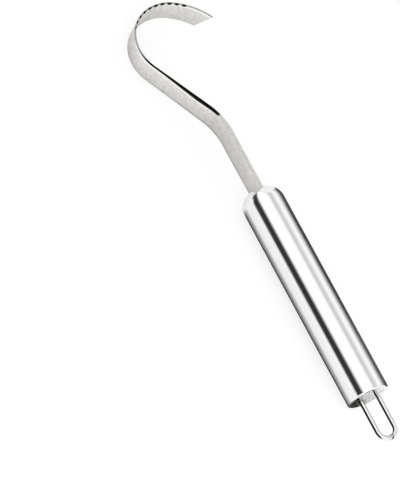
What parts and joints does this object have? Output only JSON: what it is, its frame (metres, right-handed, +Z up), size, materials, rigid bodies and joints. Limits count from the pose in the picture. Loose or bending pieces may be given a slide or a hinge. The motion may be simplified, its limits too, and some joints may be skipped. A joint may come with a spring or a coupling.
{
  "type": "butter curler",
  "caption": "Butter curler: a bent steel strip with a fluted hook for shaving butter curls, set in a round polished tubular handle with a swinging wire hanging loop.",
  "frame": {"origin": "on the table, under the middle of the tool's bounding box, with the tool lying on its handle and on the side of its hook", "axes": "+X along the handle's axis towards the blade, +Y towards the side on which the neck bulges out, +Z up, towards the fluted edge of the hook"},
  "size_m": [0.2188, 0.04, 0.019],
  "materials": {
    "satin_steel": "satin, finely ground",
    "polished_steel": "mirror polished stainless steel",
    "cap_steel": "pressed, matt",
    "wire_steel": "bright drawn wire",
    "inner_steel": "plain",
    "plug_plastic": "moulded"
  },
  "bodies": {
    "tool": {"blade": "satin_steel", "handle_tube": "polished_steel", "tang_plug": "plug_plastic", "tang_pin": "inner_steel", "end_cap": "cap_steel", "loop_keeper": "inner_steel"},
    "loop": {"hanging_loop": "wire_steel"}
  },
  "joints": [
    {"name": "loop_swing", "type": "hinge", "parent": "tool", "child": "loop", "pos_m": [-0.08356, -0.00186, 0.00948], "axis": [0, 0.9854, -0.1703], "range_deg": [-18, 18]}
  ]
}
